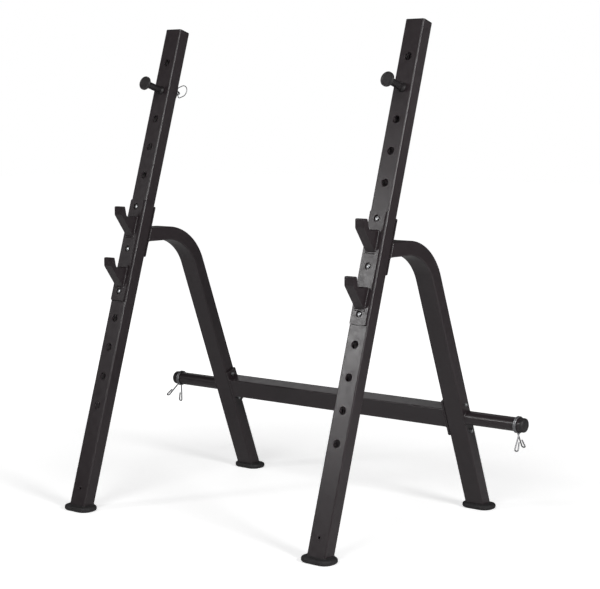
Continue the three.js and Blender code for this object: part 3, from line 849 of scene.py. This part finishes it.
# Bolts and nuts, made about X with the seat at zero

def hexagon(angle):
    """Distance from the axis to a hexagon's edge."""
    turn = math.pi / 3
    return BOLT_HEAD_WIDTH / 2 / math.cos((angle + turn / 2) % turn - turn / 2)


def hexagon_rings(low, high, low_chamfer, high_chamfer):
    """Rings of a hexagon prism whose corners are turned off where a chamfer is asked for."""
    slope = math.tan(HEX_CHAMFER)
    rings = []
    for place, way, chamfer in ((low, 1, low_chamfer), (high, -1, high_chamfer)):
        round_ring = []
        edge_ring = []
        for side in range(HEX_SIDES):
            angle = 2 * math.pi * side / HEX_SIDES
            radius = hexagon(angle)
            drop = (radius - HEX_CIRCLE) * slope if chamfer else 0
            ray = Vector((0, math.cos(angle), math.sin(angle)))
            round_ring.append(ray * HEX_CIRCLE + Vector((place, 0, 0)))
            edge_ring.append(ray * radius + Vector((place + way * drop, 0, 0)))
        rings += [round_ring, edge_ring] if way == 1 else [edge_ring, round_ring]
    return rings


def circle_ring(radius, place):
    """A circle about X."""
    angles = [2 * math.pi * side / HEX_SIDES for side in range(HEX_SIDES)]
    return [Vector((place, radius * math.cos(angle), radius * math.sin(angle))) for angle in angles]


def bolt(length):
    """A hexagon bolt with a crowned head, a washer face under it and a rolled thread at its end."""
    rim = BOLT_HEAD_CROWN - BOLT_HEAD_HEIGHT
    rings = hexagon_rings(rim, -BOLT_WASHER_STEP, True, False)
    crown = [circle_ring(HEX_CIRCLE * share, rim - BOLT_HEAD_CROWN * (1 - share * share))
             for share in BOLT_CROWN_RINGS]
    head = loft(crown + rings)
    profile = [(0, -BOLT_WASHER_HEIGHT), (HEX_CIRCLE, -BOLT_WASHER_HEIGHT), (HEX_CIRCLE, 0), (0, 0)]
    washer = lathe(profile, HEX_SIDES)
    profile = [(0, -BOLT_SHANK_INSET), (BOLT_RADIUS, -BOLT_SHANK_INSET)]
    start = length - NUT_HEIGHT - BOLT_TAIL * 2
    turns = int((length - start) / THREAD_PITCH) - 1
    for turn in range(turns):
        place = start + turn * THREAD_PITCH
        profile += [(BOLT_RADIUS - THREAD_DEPTH * depth, place + THREAD_PITCH * along)
                    for along, depth in THREAD_PROFILE]
    end = start + turns * THREAD_PITCH
    profile += [(BOLT_RADIUS, end), (BOLT_RADIUS, length - BOLT_END_CHAMFER),
                (BOLT_RADIUS - BOLT_END_CHAMFER, length), (0, length)]
    return [head, washer, lathe(profile, HEX_SIDES)]


def nut():
    outer = hexagon_rings(0, NUT_HEIGHT, True, True)
    bore = BOLT_RADIUS + SEAT_GAP
    inner = [circle_ring(bore + THREAD_DEPTH, 0), circle_ring(bore, THREAD_DEPTH),
             circle_ring(bore, NUT_HEIGHT - THREAD_DEPTH), circle_ring(bore + THREAD_DEPTH, NUT_HEIGHT)]
    return [pipe(outer, inner)]


def fasten(name, shapes, place, turn):
    look = name.replace("_bolt_", "_bolt_look_").replace("_nut_", "_nut_look_")
    piece = new_object(look, shapes, "zinc_plate")
    place = place @ Matrix.Rotation(turn, 4, "X")
    settle(piece, "frame", "zinc_plate", place, name, sharp=SHARP_HEX_EDGE)


def catch_bolts(side):
    under_head = CATCH_FRONT + RECESS_DEPTH - SEAT_GAP
    for row, (height, turn) in enumerate(zip(CATCH_BOLTS, CATCH_BOLT_TURNS)):
        nut_front = (UPRIGHT_BACK if row == 0 else LEG_PLATE_BACK) + SEAT_GAP
        length = nut_front + NUT_HEIGHT + BOLT_TAIL - under_head
        place = lean_place(side) @ move(0, under_head, height) @ BACKWARD
        fasten(f"catch_bolt_{row + 1}_{side}", bolt(length), place, turn)
        place = lean_place(side) @ move(0, nut_front, height) @ BACKWARD
        fasten(f"catch_nut_{row + 1}_{side}", nut(), place, turn * 2)


def beam_bolts(side):
    under_head = PLATE_OUTSIDE + SEAT_GAP
    nut_front = TUBE_WIDTH / 2 + SEAT_GAP
    length = under_head + nut_front + NUT_HEIGHT + BOLT_TAIL
    for row, (height, turn) in enumerate(zip(BEAM_BOLTS, BEAM_BOLT_TURNS)):
        axis = leg_place(side) @ move(0, 0, height) @ outward_turn(side)
        fasten(f"beam_bolt_{row + 1}_{side}", bolt(length), axis @ move(-under_head, 0, 0), turn)
        fasten(f"beam_nut_{row + 1}_{side}", nut(), axis @ move(nut_front, 0, 0), turn * 2)


# Rear legs

def leg_rings(grow):
    """Sections of the rear leg from the leg plate round its bend and down to the foot."""
    corner = SETBACK - LEG_STUB_HEIGHT * math.tan(LEG_LEAN)
    turn = math.pi / 2 - LEG_LEAN
    centre_y = corner - LEG_BEND_RADIUS * math.tan(turn / 2)
    centre_z = LEG_STUB_HEIGHT - LEG_BEND_RADIUS
    outline = tube_outline(grow)
    front = []
    for x, out in outline:
        z = LEG_STUB_HEIGHT + out
        y = (LEG_PLATE_BACK + SEAT_GAP + z * math.sin(UPRIGHT_LEAN)) / math.cos(UPRIGHT_LEAN)
        front.append(Vector((x, y, z)))
    rings = [front]
    for step in range(BEND_STEPS + 1):
        angle = math.pi / 2 - turn * step / BEND_STEPS
        across = math.cos(angle)
        up = math.sin(angle)
        rings.append([Vector((x, centre_y + (LEG_BEND_RADIUS + out) * across,
                              centre_z + (LEG_BEND_RADIUS + out) * up)) for x, out in outline])
    foot_end = []
    for x, out in outline:
        down = (out * math.sin(LEG_LEAN) - FOOT_FLOOR - SEAT_GAP) / math.cos(LEG_LEAN)
        y = SETBACK + out * math.cos(LEG_LEAN) + down * math.sin(LEG_LEAN)
        foot_end.append(Vector((x, y, FOOT_FLOOR + SEAT_GAP)))
    return rings + [foot_end]


def rear_leg(side):
    shape = pipe(leg_rings(0), leg_rings(-TUBE_WALL))
    piece = new_object(f"rear_leg_look_{side}", [shape], "powder_coat")
    to_leg = move(0, SETBACK, 0) @ Matrix.Rotation(LEG_LEAN, 4, "X")
    half = TUBE_WIDTH / 2
    cut(piece, [through_hole(BOLT_HOLE_RADIUS, 0, -half, half, to_leg @ move(0, 0, height))
                for height in BEAM_BOLTS])
    settle(piece, "frame", "powder_coat", side_place(side), f"rear_leg_{side}")
    weld(f"leg_plate_weld_{side}", leg_rings(WELD_STANDOFF)[0], "frame", side_place(side), seed=7)


def leg_plate(side):
    plate = standing_plate(TUBE_WIDTH, 2 * LEG_PLATE_HALF, LEG_PLATE_THICKNESS)
    middle = move(0, (LEG_PLATE_FRONT + LEG_PLATE_BACK) / 2, LEG_PLATE_MIDDLE)
    piece = new_object(f"leg_plate_look_{side}", [transformed(plate, middle)], "powder_coat")
    front, back = LEG_PLATE_FRONT, LEG_PLATE_BACK
    cut(piece, [through_hole(BOLT_HOLE_RADIUS, 0, front, back, front_to_back(height))
                for height in CATCH_BOLTS[1:]])
    settle(piece, "frame", "powder_coat", lean_place(side), f"leg_plate_{side}")


def beam_end_plate(side):
    way = -SIDES[side]
    outline = rounded_rectangle(TUBE_DEPTH, END_PLATE_LENGTH, PLATE_CORNER)
    middle = way * (PLATE_INSIDE + PLATE_OUTSIDE) / 2
    plate = transformed(crosswise(prism(outline, END_PLATE_THICKNESS)), move(middle, 0, BEAM_HEIGHT))
    piece = new_object(f"beam_end_plate_look_{side}", [plate], "powder_coat")
    low, high = sorted((way * PLATE_INSIDE, way * PLATE_OUTSIDE))
    cut(piece, [through_hole(BOLT_HOLE_RADIUS, 0, low, high, move(0, 0, height))
                for height in BEAM_BOLTS])
    settle(piece, "frame", "powder_coat", leg_place(side), f"beam_end_plate_{side}")


def crossbeam():
    def ring(grow, x):
        outline = rounded_rectangle(TUBE_DEPTH + 2 * grow, TUBE_WIDTH + 2 * grow, TUBE_CORNER + grow)
        return [Vector((x, y, BEAM_HEIGHT + z)) for y, z in outline]

    shape = pipe([ring(0, -BEAM_HALF), ring(0, BEAM_HALF)],
                 [ring(-TUBE_WALL, -BEAM_HALF), ring(-TUBE_WALL, BEAM_HALF)])
    place = move(0, SETBACK / 2, 0) @ Matrix.Rotation(LEG_LEAN, 4, "X")
    piece = new_object("crossbeam_look", [shape], "powder_coat")
    settle(piece, "frame", "powder_coat", place, "crossbeam")
    for side, way in SIDES.items():
        line = ring(0, way * BEAM_HALF)
        weld(f"crossbeam_weld_{side}", line, "frame", place, seed=11, radius=SLIM_WELD_RADIUS)


# Plate horns and spring clips

def weight_horn(side):
    bore = HORN_RADIUS - HORN_WALL
    profile = [(bore, HORN_START), (HORN_RADIUS, HORN_START), (HORN_RADIUS, HORN_END), (bore, HORN_END)]
    piece = new_object(f"weight_horn_look_{side}", [lathe(profile)], "powder_coat")
    place = horn_place(side) @ outward_turn(side)
    settle(piece, "frame", "powder_coat", place, f"weight_horn_{side}")
    line = circle_ring(HORN_RADIUS, HORN_START)
    weld(f"weight_horn_weld_{side}", line, "frame", place, seed=17, radius=SLIM_WELD_RADIUS)


def horn_cap(side):
    """A pushed-in cap with a rounded edge and a slightly crowned face."""
    inner = HORN_END + SEAT_GAP
    outer = inner + HORN_CAP_LENGTH
    plug = HORN_RADIUS - HORN_WALL - SEAT_GAP
    flat = outer - HORN_CAP_CROWN
    profile = [(0, inner - HORN_CAP_PLUG), (plug, inner - HORN_CAP_PLUG), (plug, inner),
               (HORN_CAP_RADIUS, inner)]
    centre = (HORN_CAP_RADIUS - HORN_CAP_ROUNDING, flat - HORN_CAP_ROUNDING)
    profile += arc(centre, HORN_CAP_ROUNDING, 0, math.pi / 2, CURVE_STEPS)
    for step in range(1, CURVE_STEPS):
        share = step / CURVE_STEPS
        profile.append((centre[0] * (1 - share), flat + HORN_CAP_CROWN * math.sin(share * math.pi / 2)))
    profile.append((0, outer))
    piece = new_object(f"horn_cap_look_{side}", [lathe(profile)], "black_plastic")
    settle(piece, "frame", "black_plastic", horn_place(side) @ outward_turn(side), f"horn_cap_{side}")


def arc_points(centre, radius, start, sweep, steps, u, v):
    """An arc in the plane of two directions."""
    points = []
    for step in range(steps + 1):
        angle = start + sweep * step / steps
        points.append(centre + u * radius * math.cos(angle) + v * radius * math.sin(angle))
    return points


def clip_end(place, way, radius):
    """A bend off the coil, a straight leg and a loop that turns out along the horn and back up."""
    outer = Vector((1, 0, 0))
    out = Vector((0, way, 0))
    down = Vector((0, 0, -1))
    turn = math.pi / 2 - CLIP_LEG_SPREAD
    centre = Vector((place, 0, -radius - CLIP_BEND_RADIUS))
    bend = arc_points(centre, CLIP_BEND_RADIUS, -math.pi / 2, turn, CURVE_STEPS, out, down)
    straight = Vector((0, way * math.sin(CLIP_LEG_SPREAD), -math.cos(CLIP_LEG_SPREAD)))
    centre = bend[-1] + straight * CLIP_LEG_LENGTH + outer * CLIP_LOOP_RADIUS
    loop = arc_points(centre, CLIP_LOOP_RADIUS, math.pi, -CLIP_LOOP_TURN, 3 * CURVE_STEPS,
                      outer, straight)
    last = math.pi - CLIP_LOOP_TURN
    up = outer * math.sin(last) - straight * math.cos(last)
    return [*bend, *loop, loop[-1] + up * CLIP_LOOP_RETURN]


def spring_clip(side):
    way = SIDES[side]
    radius = HORN_RADIUS + CLIP_HORN_GAP + CLIP_WIRE / 2
    width = CLIP_TURNS * (CLIP_WIRE + CLIP_TURN_GAP)
    middle = HORN_END - CLIP_END_GAP - CLIP_WIRE / 2 - width / 2
    steps = CLIP_TURNS * CURL_STEPS
    coil = []
    for step in range(1, steps):
        angle = 2 * math.pi * step / CURL_STEPS
        place = middle + width * (step / steps - 0.5)
        coil.append(Vector((place, -radius * math.sin(angle), -radius * math.cos(angle))))
    first = list(reversed(clip_end(middle - width / 2, 1, radius)))
    last = clip_end(middle + width / 2, -1, radius)
    points = [Vector((way * point.x, point.y, point.z)) for point in first + coil + last]
    piece = new_object(f"spring_clip_look_{side}", [wire_shape(points, CLIP_WIRE / 2)], "spring_steel")
    place = horn_place(side) @ Matrix.Rotation(CLIP_TURN[side], 4, "X")
    settle(piece, f"spring_clip_{side}", "spring_steel", place, f"spring_clip_{side}")


# Rack pins, lynch pins and rings

def rack_pin(side):
    front = PIN_FACE - PIN_REACH
    tail = UPRIGHT_BACK + PIN_TAIL
    collar = PIN_FACE - PIN_COLLAR_LENGTH
    profile = eased_profile(
        (0, front), (PIN_RADIUS, front), (PIN_RADIUS, collar - PIN_FLARE_LENGTH, PIN_FLARE_EASING),
        (PIN_COLLAR_RADIUS, collar, PIN_COLLAR_EASING), (PIN_COLLAR_RADIUS, PIN_FACE, PIN_SEAT_EASING),
        (PIN_RADIUS, PIN_FACE), (PIN_RADIUS, tail - PIN_TAIL_CHAMFER, PIN_TAIL_EASING),
        (PIN_RADIUS - PIN_TAIL_CHAMFER, tail, PIN_TAIL_EASING), (0, tail))
    shape = transformed(lathe(profile), BACKWARD)
    piece = new_object(f"rack_pin_look_{side}", [shape], "black_steel")
    hole = LYNCH_RADIUS + SEAT_GAP
    reach = PIN_RADIUS + PIN_HOLE_CHAMFER
    profile = [(0, -reach), (hole, -reach), (hole, reach), (0, reach)]
    cut(piece, [cutter(profile, move(0, LYNCH_PLACE, 0))])
    settle(piece, f"rack_pin_{side}", "black_steel", pin_place(side), f"rack_pin_{side}")


def rack_disc(side):
    """The stop at the rack pin's front end, turned with eased edges and a shallow dished face."""
    seat = PIN_FACE - PIN_REACH
    back = seat + DISC_SOCKET
    front = back - DISC_THICKNESS
    bore = PIN_RADIUS + SEAT_GAP
    dish = front + DISC_DISH_DEPTH
    floor = seat - SEAT_GAP
    profile = eased_profile(
        (0, dish), (DISC_DISH_FLOOR, dish, DISC_DISH_EASING), (DISC_DISH_RIM, front, DISC_DISH_EASING),
        (DISC_RADIUS, front, DISC_ROUNDING), (DISC_RADIUS, back, DISC_ROUNDING),
        (bore, back, DISC_SOCKET_EASING), (bore, floor), (0, floor))
    shape = transformed(lathe(profile), BACKWARD)
    piece = new_object(f"rack_pin_disc_look_{side}", [shape], "black_steel")
    settle(piece, f"rack_pin_{side}", "black_steel", pin_place(side), f"rack_pin_disc_{side}")


def lynch_pin(side):
    """A cross pin with a rounded tip, and a head with an eye for the ring's ends."""
    tip = -PIN_RADIUS - LYNCH_TIP
    end = LYNCH_HEAD_START + LYNCH_HEAD_LENGTH
    profile = eased_profile(
        (0, tip), (LYNCH_RADIUS - LYNCH_CHAMFER, tip, LYNCH_TIP_EASING),
        (LYNCH_RADIUS, tip + LYNCH_CHAMFER, LYNCH_TIP_EASING), (LYNCH_RADIUS, LYNCH_HEAD_START),
        (LYNCH_HEAD_RADIUS, LYNCH_HEAD_START, LYNCH_NECK_EASING),
        (LYNCH_HEAD_RADIUS, end, LYNCH_HEAD_EASING), (0, end))
    piece = new_object(f"lynch_pin_look_{side}", [lathe(profile, LYNCH_SIDES)], "zinc_plate")
    hole = RING_WIRE / 2 + SEAT_GAP
    upward = move(RING_PIVOT, 0, 0) @ Matrix.Rotation(-math.pi / 2, 4, "Y")
    cut(piece, [through_hole(hole, SEAT_GAP, -LYNCH_HEAD_RADIUS, LYNCH_HEAD_RADIUS, upward)])
    settle(piece, f"lynch_pin_{side}", "zinc_plate", lynch_place(side), f"lynch_pin_{side}")


def lynch_ring(side):
    """A D-shaped spring ring, whose two ends turn in the lynch pin's head."""
    half = (RING_HEIGHT - RING_WIRE) / 2
    out = Vector((1, 0, 0))
    up = Vector((0, 0, 1))
    corner = Vector((RING_CORNER, 0, half - RING_CORNER))
    middle = Vector((RING_REACH - RING_WIRE / 2 - half, 0, 0))
    upper = arc_points(corner, RING_CORNER, math.pi, -math.pi / 2, CURVE_STEPS, out, up)
    bow = arc_points(middle, half, math.pi / 2, -math.pi / 2, 2 * CURVE_STEPS, out, up)
    top = [Vector((0, 0, RING_END_GAP / 2)), *upper, *bow[:-1]]
    points = [*top, bow[-1], *(Vector((point.x, 0, -point.z)) for point in reversed(top))]
    piece = new_object(f"lynch_ring_look_{side}", [wire_shape(points, RING_WIRE / 2)], "spring_steel")
    place = lynch_place(side) @ move(RING_PIVOT, 0, 0)
    settle(piece, f"lynch_ring_{side}", "spring_steel", place, f"lynch_ring_{side}")


for one_side in SIDES:
    upright(one_side)
    upright_cap(one_side)
    foot("front_foot", one_side, side_place(one_side), -UPRIGHT_LEAN)
    foot("rear_foot", one_side, side_place(one_side) @ move(0, SETBACK, 0), LEG_LEAN)
    bar_catch(one_side)
    catch_bolts(one_side)
    leg_plate(one_side)
    rear_leg(one_side)
    beam_end_plate(one_side)
    beam_bolts(one_side)
    weight_horn(one_side)
    horn_cap(one_side)
    spring_clip(one_side)
    rack_pin(one_side)
    rack_disc(one_side)
    lynch_pin(one_side)
    lynch_ring(one_side)
crossbeam()


# Camera, at the photograph's place
CAMERA_PLACE = (3.67180, -4.42651, 1.42153)
CAMERA_DIP = 0.1108137
CAMERA_TURN = 0.6801718
lens = bpy.data.cameras.new("camera")
lens.lens = 97.04
lens.sensor_width = 36
lens.sensor_fit = "HORIZONTAL"
lens.clip_end = 60
camera = bpy.data.objects.new("camera", lens)
bpy.context.scene.collection.objects.link(camera)
camera.location = CAMERA_PLACE
camera.rotation_euler = (math.pi / 2 - CAMERA_DIP, 0, CAMERA_TURN)
bpy.context.scene.camera = camera
bpy.context.scene.view_settings.view_transform = "Standard"


# Floor, world and lamps

FLOOR_LEVEL = -0.0004
FLOOR_REACH = 25.0
FLOOR_GLOW = (0.60, 1.0)
FLOOR_GLOW_REACH = (1.0, 3.2)
WORLD_LIGHT = 0.04
# Name, place, target, size and power
LAMPS = [
    ("key", (5.6, -1.4, 2.8), (0, 0, 0.6), 1.6, 220),
    ("front", (1.3, -4.9, 4.1), (0, 0, 0.9), 3.0, 135),
    ("back right", (4.2, 4.8, 1.6), (0, 0, 1.0), 1.5, 4),
    ("front left", (-3.03, -4.73, 2.85), (0.4, 0, 0.8), 1.0, 60),
    ("back left", (-3.8, 3.2, 4.5), (0, 0.3, 0.4), 2.6, 18),
]


def floor_material():
    """Pale floor that shows soft shadows and runs into the white background."""
    n = Nodes("studio_floor")
    n.finish(Base_Color=(0.80, 0.80, 0.80, 1.0), Roughness=0.9, Emission_Color=(1.0, 1.0, 1.0, 1.0))
    n.shader.inputs["Specular IOR Level"].default_value = 0.1
    away = n.node("ShaderNodeVectorMath", operation="LENGTH")
    n.link(n.place, away.inputs[0])
    glow = n.spread(away.outputs["Value"], *FLOOR_GLOW, *FLOOR_GLOW_REACH)
    rays = n.node("ShaderNodeLightPath")
    scale = n.node("ShaderNodeMath", operation="MULTIPLY")
    n.link(rays.outputs["Is Camera Ray"], scale.inputs[0])
    n.link(glow, scale.inputs[1])
    n.link(scale.outputs[0], n.shader.inputs["Emission Strength"])
    return n.material


def floor():
    mesh = bpy.data.meshes.new("floor")
    shape = bmesh.new()
    corners = [(-1, -1), (1, -1), (1, 1), (-1, 1)]
    shape.faces.new([shape.verts.new((x * FLOOR_REACH, y * FLOOR_REACH, FLOOR_LEVEL))
                     for x, y in corners])
    shape.to_mesh(mesh)
    shape.free()
    mesh.materials.append(floor_material())
    made = bpy.data.objects.new("floor", mesh)
    bpy.context.scene.collection.objects.link(made)


def world():
    """Even pale light, and a white background for what the camera sees."""
    made = bpy.data.worlds.new("studio")
    bpy.context.scene.world = made
    made.use_nodes = True
    tree = made.node_tree
    light = tree.nodes["Background"]
    light.inputs["Color"].default_value = (1.0, 1.0, 1.0, 1.0)
    rays = tree.nodes.new("ShaderNodeLightPath")
    seen = tree.nodes.new("ShaderNodeMapRange")
    seen.inputs["To Min"].default_value = WORLD_LIGHT
    seen.inputs["To Max"].default_value = 1.0
    tree.links.new(rays.outputs["Is Camera Ray"], seen.inputs["Value"])
    tree.links.new(seen.outputs["Result"], light.inputs["Strength"])


def lamp(name, place, target, size, power):
    data = bpy.data.lights.new(name, "AREA")
    data.shape = "DISK"
    data.size = size
    data.energy = power
    made = bpy.data.objects.new(name, data)
    bpy.context.scene.collection.objects.link(made)
    made.location = place
    made.rotation_euler = (Vector(target) - Vector(place)).to_track_quat("-Z", "Y").to_euler()


floor()
world()
for one_lamp in LAMPS:
    lamp(*one_lamp)
